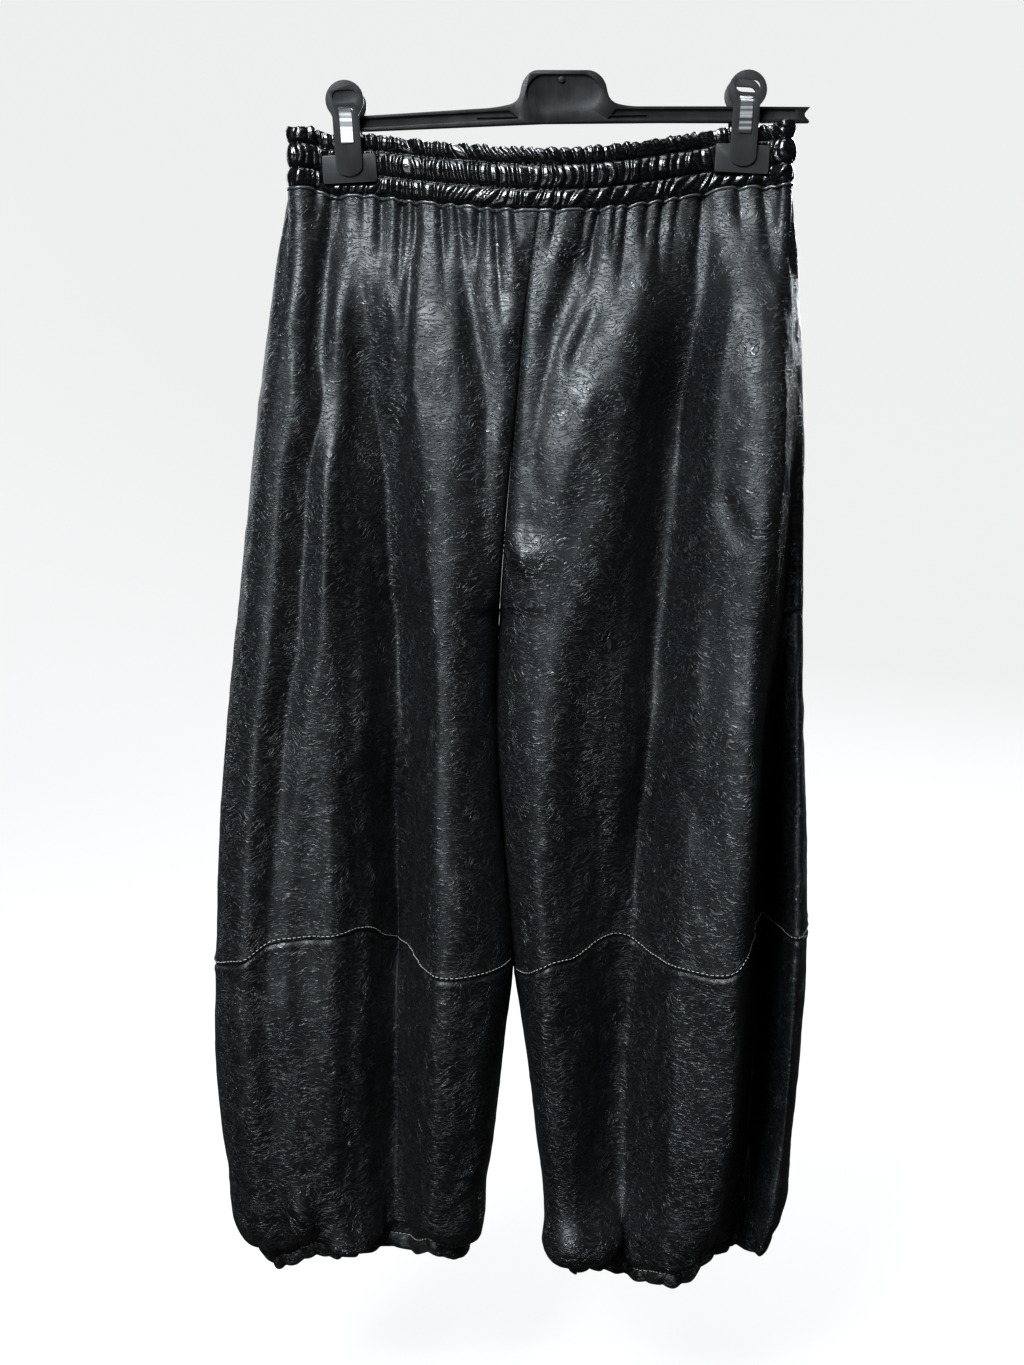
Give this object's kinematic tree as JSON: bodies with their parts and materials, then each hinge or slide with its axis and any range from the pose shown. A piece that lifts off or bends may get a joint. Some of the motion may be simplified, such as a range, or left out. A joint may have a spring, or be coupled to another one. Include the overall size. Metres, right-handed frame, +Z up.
{
  "type": "faux leather balloon joggers on a clip hanger",
  "caption": "Black faux leather balloon joggers with a shirred elastic waist and gathered hems, clipped to a plain bar hanger by the waistband.",
  "frame": {"origin": "middle of the top edge of the hanger's centre plate, where the hook's shank goes in", "axes": "+Z up, +X along the bar towards the wearer's left leg, and the garment's front faces -Y"},
  "size_m": [0.5211, 0.1752, 1.0432],
  "materials": {
    "faux_leather": "satin with a fine crinkled grain, shinier on the shirred band",
    "hanger_plastic": "smooth black moulding",
    "clip_plastic": "smooth charcoal moulding",
    "spring_steel": "bright spring strip"
  },
  "bodies": {
    "root": {"waistband": "faux_leather", "front_upper_right": "faux_leather", "front_upper_left": "faux_leather", "back_upper_right": "faux_leather", "back_upper_left": "faux_leather", "front_lower_right": "faux_leather", "front_lower_left": "faux_leather", "back_lower_right": "faux_leather", "back_lower_left": "faux_leather", "hanger": "hanger_plastic", "hook_end": "hanger_plastic", "clip_right_front": "clip_plastic", "clip_right_back": "clip_plastic", "clip_right_spring": "spring_steel", "clip_left_front": "clip_plastic", "clip_left_back": "clip_plastic", "clip_left_spring": "spring_steel"}
  },
  "joints": []
}
